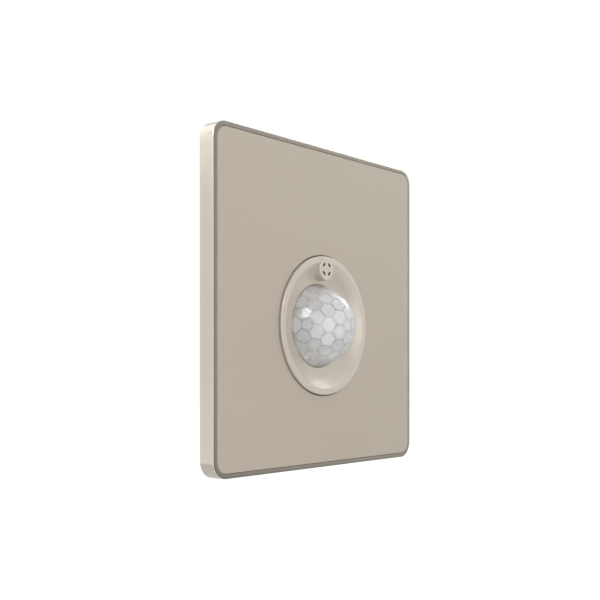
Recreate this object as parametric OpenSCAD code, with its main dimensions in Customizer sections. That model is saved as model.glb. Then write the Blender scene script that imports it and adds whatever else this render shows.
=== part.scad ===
// Wall-mounted motion sensor light switch: a pull-off square cover over a mounting frame that
// carries the dished bezel, the dome lens, two boards and three screw terminals in a rear housing.
// Millimetres. The wall is the XZ plane, the face looks along -Y and up is +Z. The origin is the
// plate's centre on the wall, midway between the two box screw slots.

/* [Face plate] */
// Width and height of the square plate
plate_size = 86; // [82:1:96]
// How far the panel's face stands off the wall
plate_depth = 4.5; // [4.2:0.1:6]
// Outer corner radius of the trim frame
plate_corner_r = 4.5; // [3.5:0.5:7]
// Width of the sloping lip seen round the panel
lip_w = 1.2; // [0.8:0.1:1.5]
// How far the lip falls back towards the sides
lip_fall = 0.2; // [0.1:0.1:0.6]
// Thickness of the front panel sheet
panel_t = 1.2; // [0.9:0.1:1.4]
// Thickness of the moulded backing behind the panel
backing_t = 0.9; // [0.7:0.1:1.1]

/* [Sensor dish] */
// Outer diameter of the dish's rim
dish_d = 37.3; // [35.5:0.1:38.5]
// How far the dish's centre lies below the plate's centre
dish_drop = 4.95; // [3.5:0.05:6]
// How far the rim stands proud of the panel
rim_proud = 0.7; // [0.5:0.1:1.2]
// Width of the flat rim
rim_w = 1.7; // [1.3:0.1:2.2]
// Depth from the rim's face to the lens's edge
dish_depth = 2.7; // [2.4:0.1:3]
// Wall thickness of the dish
bezel_t = 1.2; // [1:0.1:1.5]

/* [Dome lens] */
// Diameter of the lens where it leaves the dish
lens_d = 22.4; // [21.5:0.1:23]
// Height of the lens above the dish's floor
lens_rise = 10.3; // [9:0.1:11]
// Slope of the lens's conical skirt from the axis, in degrees
lens_draft = 21; // [18:1:28]
// Wall thickness of the lens
lens_t = 0.8; // [0.7:0.05:1.1]
// Depth of the flat lens cells cut in the inner wall, at their middle
cell_depth = 0.2; // [0.15:0.05:0.3]
// Width of the rib left between neighbouring cells
cell_rib = 0.25; // [0.15:0.05:0.4]

/* [Light port] */
// Diameter of the boss in front of the light sensor
port_d = 6; // [5.6:0.1:6.2]
// Distance of the boss from the dish's centre
port_rise = 15.2; // [15:0.1:15.4]
// How far the boss stands proud of the rim
port_proud = 0.2; // [0.1:0.05:0.3]
// Thickness of the slotted face
grille_t = 0.8; // [0.5:0.1:1]
// Radius of the circle that the four slots lie on
grille_r = 1.6; // [1.4:0.05:1.7]
// Length of one slot
grille_slot_l = 1.3; // [1:0.1:1.5]
// Width of one slot
grille_slot_w = 0.6; // [0.4:0.05:0.7]

/* [Wall box] */
// Distance between the two box screws
box_pitch = 60.3; // [60:0.1:60.6]
// Width of a screw slot
slot_w = 4.4; // [4.2:0.1:4.8]
// Length of a screw slot
slot_l = 8; // [6.5:0.5:8.5]
// Thickness left under the screw heads
well_floor = 0.9; // [0.7:0.1:1.2]

/* [Rear housing] */
// Width of the housing behind the wall
housing_w = 45; // [44.5:0.1:45.6]
// Height of the housing behind the wall
housing_h = 60; // [59:0.5:64]
// Depth of the housing behind the wall
housing_depth = 19.2; // [19:0.1:19.6]
// Wall thickness of the housing
housing_wall = 1.5; // [1.3:0.1:1.6]

/* [Boards] */
// Thickness of both circuit boards
board_t = 1.2; // [1:0.1:1.3]
// Distance from the wall plane to the sensor board
board_setback = 2.6; // [2.5:0.1:2.8]
// Distance of each trimmer from the middle
trimmer_x = 8; // [7.8:0.1:8.1]

/* [Terminals] */
// Distance between neighbouring terminals
pole_pitch = 7.62; // [7.5:0.02:8]
// Opening for the wire between the bar and the cage
wire_gap = 3.2; // [3:0.1:3.4]
// Travel of a clamping cage
clamp_travel = 2.4; // [2.2:0.1:2.6]
// Diameter of a terminal screw's thread
clamp_screw_d = 3; // [2.6:0.1:3]

/* [Fits] */
// Free gap between the pull-off cover and what stays on the wall
cover_gap = 0.3; // [0.25:0.01:0.35]
// Gap between faces that pass each other
move_gap = 0.3; // [0.25:0.01:0.35]
// Radial running clearance of a shaft in its bore
run_gap = 0.05; // [0.03:0.01:0.08]
// Clearance of fixed pieces that are pushed together
slip_gap = 0.1; // [0.06:0.01:0.15]

/* [Output] */
// Which sub-part to draw

/* [Hidden] */
$fn = 96;

// Levels in front of the wall, positive towards the room
panel_back = plate_depth - panel_t;
backing_back = panel_back - backing_t;
mount_t = backing_back - cover_gap;
rim_h = plate_depth + rim_proud;
floor_h = rim_h - dish_depth;
seat_h = floor_h - bezel_t;
port_h = rim_h + port_proud;
board_front = -board_setback;
board_back = board_front - board_t;
housing_end = -housing_depth;
housing_back = housing_end + housing_wall;

// Cover
lip_edge_r = 0.3;
ledge_w = 1.2;
ledge_t = 0.9;
frame_in = plate_size / 2 - lip_w;
ledge_in = frame_in - ledge_w;
panel_size = 2 * (frame_in - slip_gap);
panel_corner_r = plate_corner_r - lip_w - slip_gap;
tongue_t = 1;
tongue_w = 10;
tongue_x = 22;
tongue_end = 0.5;
bead_r = 0.2;
bead_h = 1;
bead_play = 0.05;
tongue_out = ledge_in - 0.5;
tongue_in = tongue_out - tongue_t;
mount_half = tongue_in - bead_r - bead_play;
pry_w = 10;
pry_h = 1;

// Dish
dish_r = dish_d / 2;
ring_in_r = dish_r - rim_w;
rim_edge_r = 0.35;
lens_r = lens_d / 2;
lens_hole_r = lens_r + slip_gap;
bowl_flat = 0.6;
bowl_run = ring_in_r - lens_hole_r + bowl_flat;
bowl_up = (bowl_run * bowl_run + dish_depth * dish_depth - bowl_flat * bowl_flat) / (2 * dish_depth);
bowl_r = sqrt(bowl_up * bowl_up + bowl_flat * bowl_flat);
bezel_flange_w = 1.3;
bezel_flange_t = 1;
port_r = port_d / 2;
ldr_r = port_r - 0.8;
ldr_t = 2;

// Lens
flange_w = 1.4;
flange_t = 1;
flange_r = lens_r + flange_w;
flange_back = seat_h - flange_t;
cap_r = (lens_r * cos(lens_draft) - lens_rise * sin(lens_draft)) / (1 - sin(lens_draft));
cap_h = floor_h + lens_rise - cap_r;
cell_back = 1.2;
seam_turn = 25;
cell_h = floor_h - cell_back;
cell_start = cap_r - lens_t + 0.25 * (cap_h - cell_h);
cell_reach = cap_r - lens_t + 0.5 * (cap_h - cell_h);

// Rear housing and frame posts
inner_w = housing_w / 2 - housing_wall;
inner_h = housing_h / 2 - housing_wall;
boss_r = 2.4;
boss_len = 6;
boss_gap = 0.2;
column_r = boss_r + 2 * boss_gap;
boss_x = inner_w - boss_r - boss_gap;
boss_y = inner_h - boss_r - boss_gap;
rib_t = 1.2;
rib_len = 1.5;
rib_size = 2 * [inner_w - boss_gap, inner_h - boss_gap];
post_r = 2.3;
post_in_x = 3;
post_in_y = 8;
post_x = inner_w - post_in_x;
post_y = inner_h - post_in_y;
corner_pocket = 7;
corner_in = 6;
board_edge = 0.3;

// Fasteners
housing_screw_r = 1.1;
housing_screw_seat = -boss_len - 6;
housing_head_r = 2;
housing_head_t = 1.5;
board_screw_r = 1;
board_head_r = 1.9;
board_head_t = 1.4;
bore_short = 0.8;
screw_short = 1.2;

// Terminals, measured back from the power board
block_floor = 0.8;
cage_wall = 0.7;
cage_base = 0.8;
cage_top = 1.3;
cage_len = 5;
cage_q = block_floor + move_gap;
wire_q = cage_q + cage_base;
bar_t = 0.9;
bar_q = wire_q + wire_gap;
cage_in_q = bar_q + bar_t + move_gap;
cage_out_q = cage_in_q + cage_top;
head_q = cage_out_q + clamp_travel + move_gap;
clamp_head_t = 1.4;
clamp_head_r = 2.4;
head_sunk = 0.2;
block_h = head_q + clamp_head_t + head_sunk;
cage_play = 0.2;
cage_w = wire_gap - cage_play + 2 * cage_wall;
chamber_w = cage_w + 2 * move_gap;
entry_wall = 1.2;
block_back_wall = 1.8;
chamber_len = cage_len + 2;
block_y = -(inner_h - board_edge);
chamber_y = block_y + entry_wall;
block_len = entry_wall + chamber_len + block_back_wall;
block_side = 0.9;
block_w = 2 * pole_pitch + chamber_w + 2 * block_side;
bar_w = cage_w - 2 * cage_wall - 2 * move_gap;
pin_w = 1;
power_back = housing_end + block_h;
power_front = power_back + board_t;
poles = [-pole_pitch, 0, pole_pitch];

// Parts on the boards: places in the plane of the wall
pir_r = 4.1;
pir_len = 4;
pir_spacer_t = 0.6;
pir_lead_r = 0.23;
pir_leads = [for (a = [90, 180, 270]) [2.54 * cos(a), -dish_drop + 2.54 * sin(a)]];
ldr_leads = [for (s = [-1, 1]) [s * 1.1, port_rise - dish_drop]];
peg_r = 0.8;
peg_y = -dish_drop;
peg_x = flange_r - 0.65;
trimmer_y = (rim_out_top() + inner_h - rib_t) / 2 - 0.6;
trimmer_w = 6.6;
trimmer_top = -0.6;
rotor_r = 2.4;
rotor_hub_r = 1.2;
rotor_face = mount_t - 0.4;
header_y = inner_h - rib_t - 1.6;
header_pitch = 2.54;
header_bar_w = 2.5;
header_pin_w = 0.64;
header_x = [for (i = [-1.5 : 1 : 1.5]) i * header_pitch];
lead_r = 0.4;
lead_stick = 0.8;
relay_size = [20.5, 10.5, 9.8];
relay_edge = 2.5;
row_y = 8;
relay_at = [relay_size[0] / 2 + relay_edge - inner_w, row_y];
relay_leads = [for (p = [[-8, -3.75], [-8, 3.75], [-4, 3.75], [8, -3.75], [8, 3.75]]) relay_at + p];
film_size = [13, 5, 9.5];
film_edge = 3;
film_row_y = -9;
film_lead_x = 5;
film_at = [inner_w - film_size[0] / 2 - film_edge, film_row_y];
film_leads = [for (s = [-1, 1]) film_at + [s * film_lead_x, 0]];
mov_r = 4;
mov_t = 3.8;
mov_edge = 2.5;
mov_at = [inner_w - mov_t / 2 - mov_edge, row_y];
mov_leads = [mov_at + [-1, -2.5], mov_at + [1, 2.5]];
bulk_r = 3.15;
bulk_len = 11;
bulk_step = 6.6;
bulk_at = mov_at - [bulk_step, 0];
bulk_end = bulk_at - [0, bulk_len / 2];
bulk_leads = [for (s = [-1.25, 1.25]) bulk_end + [s, -1]];
fuse_r = 1.8;
fuse_len = 9;
fuse_step = [2, 13];
fuse_at = relay_at - fuse_step;
fuse_lead_x = 6;
fuse_leads = [for (s = [-1, 1]) fuse_at + [s * fuse_lead_x, 0]];
power_leads = concat(relay_leads, film_leads, bulk_leads, mov_leads, fuse_leads);

function rim_out_top() = dish_r + bezel_flange_w - dish_drop;
function unit(v) = v / norm(v);
function around(polar, turn) = [sin(polar) * cos(turn), sin(polar) * sin(turn), cos(polar)];

// Cell centres of the lens: the corners and face centres of an icosahedron, and the points half-way
// between neighbours. Each entry is [centre, a neighbour that one flat faces, number of sides].
tip = [0, 0, 1];
spread = atan(2);
function knot(k) = around(spread, 180 + 72 * k);
function low(k) = around(180 - spread, 216 + 72 * k);
function face(k) = unit(tip + knot(k) + knot(k + 1));
function belt(k) = unit(knot(k) + knot(k + 1) + low(k));
function halfway(a, b) = unit(a + b);
cells = concat(
    [[tip, face(0), 5]],
    [for (k = [0 : 4]) [halfway(tip, face(k)), tip, 6]],
    [for (k = [0 : 4]) [halfway(tip, knot(k)), face(k), 6]],
    [for (k = [0 : 4]) [face(k), tip, 6]],
    [for (k = [0 : 4]) [halfway(knot(k), face(k)), knot(k), 6]],
    [for (k = [0 : 4]) [halfway(knot(k + 1), face(k)), knot(k + 1), 6]],
    [for (k = [0 : 4]) [halfway(knot(k), knot(k + 1)), face(k), 6]],
    [for (k = [0 : 4]) [knot(k), face(k), 5]],
    [for (k = [0 : 4]) [halfway(knot(k), belt(k)), knot(k), 6]],
    [for (k = [0 : 4]) [halfway(knot(k + 1), belt(k)), knot(k + 1), 6]]
);
cell_step = acos(tip * face(0)) / 2;

// Distance from the pattern's centre to the lens's inner wall, at an angle from the axis
function cap_at(polar) =
    let (up = (cap_h - cell_h) * cos(polar))
    up + sqrt(up * up + pow(cap_r - lens_t, 2) - pow(cap_h - cell_h, 2));
function cone_at(polar) =
    (lens_r - lens_t / cos(lens_draft) + (floor_h - cell_h) * tan(lens_draft))
    / (sin(polar) + cos(polar) * tan(lens_draft));
function wall_at(polar) =
    cap_at(polar) * cos(polar) > cap_h - cell_h + (cap_r - lens_t) * sin(lens_draft)
    ? cap_at(polar) : cone_at(polar);

// Puts a shape drawn on the bench, with z out of the wall, into place on the wall
module on_wall() {
    rotate([90, 0, 0])
        children();
}

module rounded(w, h, r) {
    square([w - 2 * r, h], center = true);
    square([w, h - 2 * r], center = true);
    for (x = [-1, 1], y = [-1, 1])
        translate([x * (w / 2 - r), y * (h / 2 - r)])
            circle(r = r);
}

module obround(l, w) {
    square([l - w, w], center = true);
    for (s = [-1, 1])
        translate([s * (l - w) / 2, 0])
            circle(r = w / 2);
}

// Extrudes a flat shape between two levels
module slab(from, to) {
    translate([0, 0, from])
        linear_extrude(height = to - from)
            children();
}

module pin(at, r, from, to) {
    translate([at[0], at[1], from])
        cylinder(r = r, h = to - from);
}

module block(at, size, from, to) {
    translate([at[0] - size[0] / 2, at[1] - size[1] / 2, from])
        cube([size[0], size[1], to - from]);
}

module at_corners(x, y) {
    for (sx = [-1, 1], sy = [-1, 1])
        translate([sx * x, sy * y, 0])
            children();
}

module at_slots() {
    for (s = [-1, 1])
        translate([s * box_pitch / 2, 0])
            children();
}

module at_dish() {
    translate([0, -dish_drop, 0])
        children();
}

// Cover: trim frame, panel and backing

function frame_section(edge) =
    let (
        slope = atan(lip_fall / lip_w),
        side = plate_depth - lip_fall - lip_edge_r * tan((90 - slope) / 2),
        round = [for (i = [0 : 6]) let (a = 180 - i * (90 - slope) / 6)
            [edge - lip_edge_r - lip_edge_r * cos(a), side + lip_edge_r * sin(a)]]
    )
    concat(
        [[edge, 0]],
        round,
        [
            [edge - lip_w, plate_depth],
            [edge - lip_w, backing_back],
            [edge - lip_w - ledge_w, backing_back],
            [edge - lip_w - ledge_w, backing_back - ledge_t],
            [edge - lip_w, backing_back - ledge_t],
            [edge - lip_w, 0]
        ]
    );

module trim_frame() {
    straight = plate_size - 2 * plate_corner_r;
    inset = plate_size / 2 - plate_corner_r;
    color("silver")
        on_wall()
            difference() {
                for (i = [0 : 3])
                    rotate([0, 0, 90 * i]) {
                        rotate([90, 0, 0])
                            linear_extrude(height = straight, center = true)
                                polygon(frame_section(plate_size / 2));
                        translate([inset, inset, 0])
                            rotate_extrude(angle = 90)
                                polygon(frame_section(plate_corner_r));
                    }
                block([0, -plate_size / 2], [pry_w, 4 * lip_w], -1, pry_h);
            }
}

module front_panel() {
    color("tan")
        on_wall()
            slab(panel_back, plate_depth)
                difference() {
                    rounded(panel_size, panel_size, panel_corner_r);
                    translate([0, -dish_drop])
                        circle(r = dish_r + cover_gap);
                }
}

module tongue() {
    block([0, (tongue_in + tongue_out) / 2], [tongue_w, tongue_t], tongue_end, backing_back);
    translate([-tongue_w / 2, tongue_in, bead_h])
        rotate([0, 90, 0])
            cylinder(r = bead_r, h = tongue_w);
}

module cover_backing() {
    color("dimgray")
        on_wall() {
            slab(backing_back, panel_back)
                difference() {
                    rounded(panel_size, panel_size, panel_corner_r);
                    translate([0, -dish_drop])
                        circle(r = dish_r + 2 * cover_gap);
                    at_slots()
                        obround(slot_l + 6, slot_w + 6);
                }
            for (side = [0, 180], x = [-1, 1])
                rotate([0, 0, side])
                    translate([x * tongue_x, 0, 0])
                        tongue();
        }
}

// Mounting frame

module mounting_frame() {
    color("whitesmoke")
        on_wall()
            difference() {
                union() {
                    slab(0, mount_t)
                        rounded(2 * mount_half, 2 * mount_half, 3);
                    slab(-rib_len, 0)
                        difference() {
                            square(rib_size, center = true);
                            square(rib_size - 2 * rib_t * [1, 1], center = true);
                        }
                    at_corners(boss_x, boss_y)
                        pin([0, 0], boss_r, -boss_len, 1);
                    at_corners(post_x, post_y)
                        pin([0, 0], post_r, board_front, 1);
                }
                at_dish() {
                    pin([0, 0], dish_r + slip_gap, -1, mount_t + 1);
                    pin([0, 0], dish_r + bezel_flange_w + slip_gap, -rib_len - 1, 0);
                }
                slab(-1, mount_t)
                    at_slots()
                        obround(slot_l, slot_w);
                slab(well_floor, mount_t + 1)
                    at_slots()
                        obround(slot_l + 5, slot_w + 5);
                at_corners(boss_x, boss_y)
                    pin([0, 0], housing_screw_r + run_gap, -boss_len - 1, mount_t - bore_short);
                at_corners(post_x, post_y)
                    pin([0, 0], board_screw_r + run_gap, board_front - 1, mount_t - bore_short);
                for (s = [-1, 1])
                    pin([s * trimmer_x, trimmer_y], rotor_r + move_gap + 0.1, -1, mount_t + 1);
                for (side = [0, 180], x = [-1, 1])
                    rotate([0, 0, side])
                        translate([x * tongue_x - tongue_w / 2 - 0.5, mount_half, bead_h])
                            rotate([0, 90, 0])
                                cylinder(r = bead_r, h = tongue_w + 1);
                for (x = [-1, 1], y = [-1, 1])
                    block(
                        (mount_half - corner_in) * [x, y], corner_pocket * [1, 1],
                        mount_t / 2, mount_t + 1
                    );
            }
}

// Sensor dish, lens and what sits behind them

module bezel_section() {
    wall_in = dish_r - bezel_t;
    difference() {
        union() {
            translate([wall_in, -bezel_flange_t])
                square([bezel_t, rim_h + bezel_flange_t]);
            translate([wall_in, -bezel_flange_t])
                square([bezel_t + bezel_flange_w, bezel_flange_t]);
            intersection() {
                translate([lens_hole_r - bowl_flat, floor_h + bowl_up])
                    circle(r = bowl_r + bezel_t);
                translate([lens_hole_r, seat_h - 1])
                    square([wall_in + bezel_t / 2 - lens_hole_r, rim_h - seat_h + 1]);
            }
            translate([lens_hole_r, seat_h])
                square([flange_w + 0.3, bezel_t]);
        }
        translate([lens_hole_r - bowl_flat, floor_h + bowl_up])
            circle(r = bowl_r);
        translate([0, seat_h - 2])
            square([flange_r + 0.3, 2]);
        difference() {
            translate([dish_r - rim_edge_r, rim_h - rim_edge_r])
                square(2 * rim_edge_r);
            translate([dish_r - rim_edge_r, rim_h - rim_edge_r])
                circle(r = rim_edge_r);
        }
    }
}

module sensor_bezel() {
    color("wheat")
        on_wall()
            at_dish()
                difference() {
                    union() {
                        rotate_extrude()
                            bezel_section();
                        pin([0, port_rise], port_r, seat_h, port_h);
                    }
                    pin([0, port_rise], ldr_r + slip_gap, seat_h - 3, port_h - grille_t);
                    translate([0, port_rise, port_h - 2 * grille_t])
                        for (a = [45 : 90 : 315])
                            rotate([0, 0, a])
                                translate([grille_r, 0, 0])
                                    rotate([0, 0, 90])
                                        linear_extrude(height = 3 * grille_t)
                                            obround(grille_slot_l, grille_slot_w);
                }
}

// Half section of the lens down to a level in its neck, shrunk inwards from its outer skin
module lens_section(shrink, base) {
    r = cap_r - shrink;
    meet = cap_h + r * sin(lens_draft);
    foot = lens_r - shrink / cos(lens_draft);
    intersection() {
        translate([0, cap_h])
            circle(r = r);
        translate([0, meet])
            square([2 * r, 2 * r]);
    }
    polygon([[0, base], [foot, base], [foot, floor_h], [r * cos(lens_draft), meet], [0, meet]]);
}

// One prism of the cell pattern, standing on the line from the pattern's centre
module cell(centre, neighbour, sides) {
    across = 2 * cell_reach * tan(cell_step / 2) - cell_rib;
    side_dir = unit(neighbour - centre * (centre * neighbour));
    other = cross(centre, side_dir);
    multmatrix([
        [side_dir[0], other[0], centre[0], 0],
        [side_dir[1], other[1], centre[1], 0],
        [side_dir[2], other[2], centre[2], 0],
        [0, 0, 0, 1]
    ])
        translate([0, 0, cell_start])
            rotate([0, 0, 180 / sides])
                cylinder(
                    r = across / 2 / cos(180 / sides), $fn = sides,
                    h = wall_at(acos(centre[2])) + cell_depth - cell_start
                );
}

module fresnel_lens() {
    color("white")
        on_wall()
            at_dish()
                difference() {
                    union() {
                        rotate_extrude()
                            lens_section(0, flange_back);
                        pin([0, 0], flange_r, flange_back, seat_h);
                    }
                    rotate([0, 0, seam_turn])
                        rotate_extrude()
                            lens_section(lens_t, flange_back - 1);
                    translate([0, 0, cell_h])
                        for (c = cells)
                            cell(c[0], c[1], c[2]);
                }
}

module lens_retainer() {
    color("black")
        on_wall()
            at_dish()
                difference() {
                    union() {
                        pin([0, 0], flange_r, board_front, flange_back);
                        for (s = [-1, 1])
                            pin([s * peg_x, 0], peg_r - slip_gap, board_back + 0.2, board_front);
                    }
                    pin([0, 0], flange_r - 1.3, board_front - 1, flange_back + 1);
                }
}

module pir_sensor() {
    base = board_front + pir_spacer_t;
    color("gold")
        on_wall()
            difference() {
                union() {
                    at_dish() {
                        pin([0, 0], pir_r, base, base + pir_len);
                        pin([0, 0], pir_r + 0.5, base, base + 0.7);
                    }
                    for (p = pir_leads)
                        pin(p, pir_lead_r, board_back - lead_stick, base + 0.5);
                }
                block([0, -dish_drop], [4, 3.2], base + pir_len - 0.4, base + pir_len + 1);
            }
}

module pir_window() {
    top = board_front + pir_spacer_t + pir_len;
    color("darkslategray")
        on_wall()
            block([0, -dish_drop], [4, 3.2], top - 0.4, top - 0.05);
}

module pir_spacer() {
    color("ivory")
        on_wall()
            difference() {
                at_dish()
                    pin([0, 0], pir_r + 0.3, board_front, board_front + pir_spacer_t);
                for (p = pir_leads)
                    pin(p, pir_lead_r + slip_gap, board_front - 1, 1);
            }
}

module light_sensor() {
    top = port_h - grille_t;
    color("orange")
        on_wall() {
            at_dish()
                pin([0, port_rise], ldr_r, top - ldr_t, top);
            for (p = ldr_leads)
                pin(p, pir_lead_r, board_back - lead_stick, top - ldr_t / 2);
        }
}

// Boards, their parts and their fixings

module board(from, to) {
    slab(from, to)
        difference() {
            square(2 * [inner_w - board_edge, inner_h - board_edge], center = true);
            for (sx = [-1, 1], sy = [-1, 1]) {
                translate([sx * boss_x, sy * boss_y])
                    circle(r = column_r + board_edge);
                translate([sx * boss_x, sy * boss_y] + [sx, sy] * column_r)
                    square(2 * column_r, center = true);
                translate([sx * post_x, sy * post_y])
                    circle(r = board_screw_r + slip_gap);
            }
            for (x = header_x)
                translate([x, header_y])
                    square(header_pin_w + 2 * slip_gap, center = true);
            children();
        }
}

module holes(places, r) {
    for (p = places)
        translate(p)
            circle(r = r);
}

module sensor_board() {
    color("darkgreen")
        on_wall()
            board(board_back, board_front) {
                holes(pir_leads, pir_lead_r + slip_gap);
                holes(ldr_leads, pir_lead_r + slip_gap);
                holes([[-peg_x, peg_y], [peg_x, peg_y]], peg_r);
            }
}

module trimmer_bases() {
    color("royalblue")
        on_wall()
            for (s = [-1, 1])
                difference() {
                    block([s * trimmer_x, trimmer_y], [trimmer_w, trimmer_w], board_front, trimmer_top);
                    pin([s * trimmer_x, trimmer_y], rotor_hub_r + run_gap, board_front + 0.5, 1);
                }
}

module trimmer_rotor(side) {
    at = [side * trimmer_x, trimmer_y];
    color("white")
        on_wall()
            difference() {
                union() {
                    pin(at, rotor_r, trimmer_top + move_gap, rotor_face);
                    pin(at, rotor_hub_r, board_front + 0.5 + move_gap, trimmer_top + move_gap);
                }
                block(at, [0.8, 3.6], rotor_face - 0.7, rotor_face + 1);
                block(at + [0, 1.2], [1.6, 0.8], rotor_face - 0.7, rotor_face + 1);
            }
}

module time_trimmer() {
    trimmer_rotor(-1);
}

module lux_trimmer() {
    trimmer_rotor(1);
}

module header_bar() {
    color("black")
        on_wall()
            slab(power_front, board_back)
                difference() {
                    translate([0, header_y])
                        square([4 * header_pitch, header_bar_w], center = true);
                    for (x = header_x)
                        translate([x, header_y])
                            square(header_pin_w, center = true);
                }
}

module header_pins() {
    color("gold")
        on_wall()
            for (x = header_x)
                block(
                    [x, header_y], header_pin_w * [1, 1],
                    power_back - lead_stick, board_front + lead_stick
                );
}

module board_spacers() {
    color("ivory")
        on_wall()
            at_corners(post_x, post_y)
                difference() {
                    pin([0, 0], post_r, power_front, board_back);
                    pin([0, 0], board_screw_r + slip_gap, power_front - 1, board_back + 1);
                }
}

module power_board() {
    color("darkgreen")
        on_wall()
            board(power_back, power_front) {
                holes(power_leads, lead_r + slip_gap);
                for (x = poles)
                    translate([x, block_y + block_len - block_back_wall / 2])
                        square(pin_w + 2 * slip_gap, center = true);
            }
}

module screw(at, r, head_r, head_t, seat, end) {
    difference() {
        union() {
            pin(at, r, seat, end);
            pin(at, head_r, seat - head_t, seat);
        }
        block(at, [2 * head_r * 0.7, 0.5], seat - 2 * head_t, seat - head_t / 2);
        block(at, [0.5, 2 * head_r * 0.7], seat - 2 * head_t, seat - head_t / 2);
    }
}

module board_screws() {
    color("silver")
        on_wall()
            at_corners(post_x, post_y)
                screw([0, 0], board_screw_r, board_head_r, board_head_t, power_back, mount_t - screw_short);
}

module leads(places) {
    for (p = places)
        pin(p, lead_r, power_back - 0.6, power_front + lead_stick);
}

module relay() {
    color("dodgerblue")
        on_wall() {
            block(relay_at, relay_size, power_back - relay_size[2], power_back);
            leads(relay_leads);
        }
}

module film_capacitor() {
    color("goldenrod")
        on_wall() {
            block(film_at, film_size, power_back - film_size[2], power_back);
            leads(film_leads);
        }
}

module bulk_capacitor() {
    color("black")
        on_wall() {
            translate([bulk_end[0], bulk_end[1] + bulk_len, power_back - bulk_r])
                rotate([90, 0, 0])
                    cylinder(r = bulk_r, h = bulk_len);
            for (p = bulk_leads) {
                translate([p[0], bulk_end[1] + 1, power_back - bulk_r])
                    rotate([90, 0, 0])
                        cylinder(r = lead_r, h = bulk_end[1] + 1 - p[1]);
                pin(p, lead_r, power_back - bulk_r, power_front + lead_stick);
                translate([p[0], p[1], power_back - bulk_r])
                    sphere(r = lead_r);
            }
        }
}

module varistor() {
    color("teal")
        on_wall() {
            translate([mov_at[0] - mov_t / 2, mov_at[1], power_back - mov_r])
                rotate([0, 90, 0])
                    cylinder(r = mov_r, h = mov_t);
            for (p = mov_leads)
                pin(p, lead_r, power_back - mov_r, power_front + lead_stick);
        }
}

module fuse() {
    color("lightgray")
        on_wall() {
            translate([fuse_at[0] - fuse_len / 2, fuse_at[1], power_back - fuse_r])
                rotate([0, 90, 0])
                    cylinder(r = fuse_r, h = fuse_len);
            translate([fuse_leads[0][0], fuse_at[1], power_back - fuse_r])
                rotate([0, 90, 0])
                    cylinder(r = lead_r, h = fuse_leads[1][0] - fuse_leads[0][0]);
            for (p = fuse_leads) {
                pin(p, lead_r, power_back - fuse_r, power_front + lead_stick);
                translate([p[0], p[1], power_back - fuse_r])
                    sphere(r = lead_r);
            }
        }
}

// Terminals: a turning screw draws its cage back and clamps the wire under the fixed bar

module terminal_block() {
    color("green")
        on_wall()
            difference() {
                translate([-block_w / 2, block_y, power_back - block_h])
                    cube([block_w, block_len, block_h]);
                for (x = poles) {
                    block(
                        [x, chamber_y + chamber_len / 2], [chamber_w, chamber_len],
                        power_back - head_q, power_back - block_floor
                    );
                    pin(
                        [x, chamber_y + chamber_len / 2], clamp_head_r + move_gap,
                        power_back - block_h - 1, power_back - head_q + 1
                    );
                    block(
                        [x, block_y], [wire_gap, 3 * entry_wall],
                        power_back - wire_q - wire_gap, power_back - wire_q
                    );
                    block(
                        [x, block_y + block_len - block_back_wall],
                        [bar_w + 2 * slip_gap, 2 * block_back_wall],
                        power_back - bar_q - bar_t - slip_gap, power_back - bar_q + slip_gap
                    );
                    block(
                        [x, block_y + block_len - block_back_wall / 2], (pin_w + 2 * slip_gap) * [1, 1],
                        power_back - bar_q, power_back + 1
                    );
                }
            }
}

module terminal_bars() {
    pin_y = block_y + block_len - block_back_wall / 2;
    start = chamber_y + move_gap;
    color("goldenrod")
        on_wall()
            for (x = poles) {
                block(
                    [x, (start + pin_y + pin_w / 2) / 2], [bar_w, pin_y + pin_w / 2 - start],
                    power_back - bar_q - bar_t, power_back - bar_q
                );
                block([x, pin_y], [pin_w, pin_w], power_back - bar_q - bar_t / 2, power_front + lead_stick);
            }
}

module terminal_cage(x) {
    at = [x, chamber_y + chamber_len / 2];
    color("silver")
        on_wall()
            difference() {
                block(at, [cage_w, cage_len], power_back - cage_out_q, power_back - cage_q);
                block(
                    at, [cage_w - 2 * cage_wall, cage_len + 2],
                    power_back - cage_in_q, power_back - wire_q
                );
                pin(
                    at, clamp_screw_d / 2 + run_gap,
                    power_back - cage_out_q - 1, power_back - cage_in_q + 1
                );
            }
}

module terminal_screw(x) {
    at = [x, chamber_y + chamber_len / 2];
    seat = power_back - head_q;
    color("silver")
        on_wall()
            screw(at, clamp_screw_d / 2, clamp_head_r, clamp_head_t, seat, power_back - cage_in_q);
}

module terminal_cage_live() {
    terminal_cage(poles[0]);
}

module terminal_cage_neutral() {
    terminal_cage(poles[1]);
}

module terminal_cage_load() {
    terminal_cage(poles[2]);
}

module terminal_screw_live() {
    terminal_screw(poles[0]);
}

module terminal_screw_neutral() {
    terminal_screw(poles[1]);
}

module terminal_screw_load() {
    terminal_screw(poles[2]);
}

// Rear housing

module rear_housing() {
    window_w = block_w + 2 * slip_gap;
    window_h = inner_h + block_y + block_len + slip_gap;
    color("whitesmoke")
        on_wall()
            difference() {
                union() {
                    difference() {
                        slab(housing_end, 0)
                            rounded(housing_w, housing_h, 3);
                        slab(housing_back, 1)
                            square(2 * [inner_w, inner_h], center = true);
                    }
                    at_corners(boss_x, boss_y)
                        pin([0, 0], column_r, housing_back - 0.5, -boss_len);
                }
                at_corners(boss_x, boss_y) {
                    pin([0, 0], housing_screw_r + slip_gap, housing_end - 1, 0);
                    pin([0, 0], housing_head_r + 2 * slip_gap, housing_end - 1, housing_screw_seat);
                }
                translate([-window_w / 2, -inner_h, housing_end - 1])
                    cube([window_w, window_h, housing_wall + 2]);
                block(
                    [0, -housing_h / 2], [2 * (pole_pitch + cage_play) + wire_gap, 4 * housing_wall],
                    power_back - wire_q - wire_gap - cage_play, power_back - wire_q + cage_play
                );
            }
}

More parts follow.
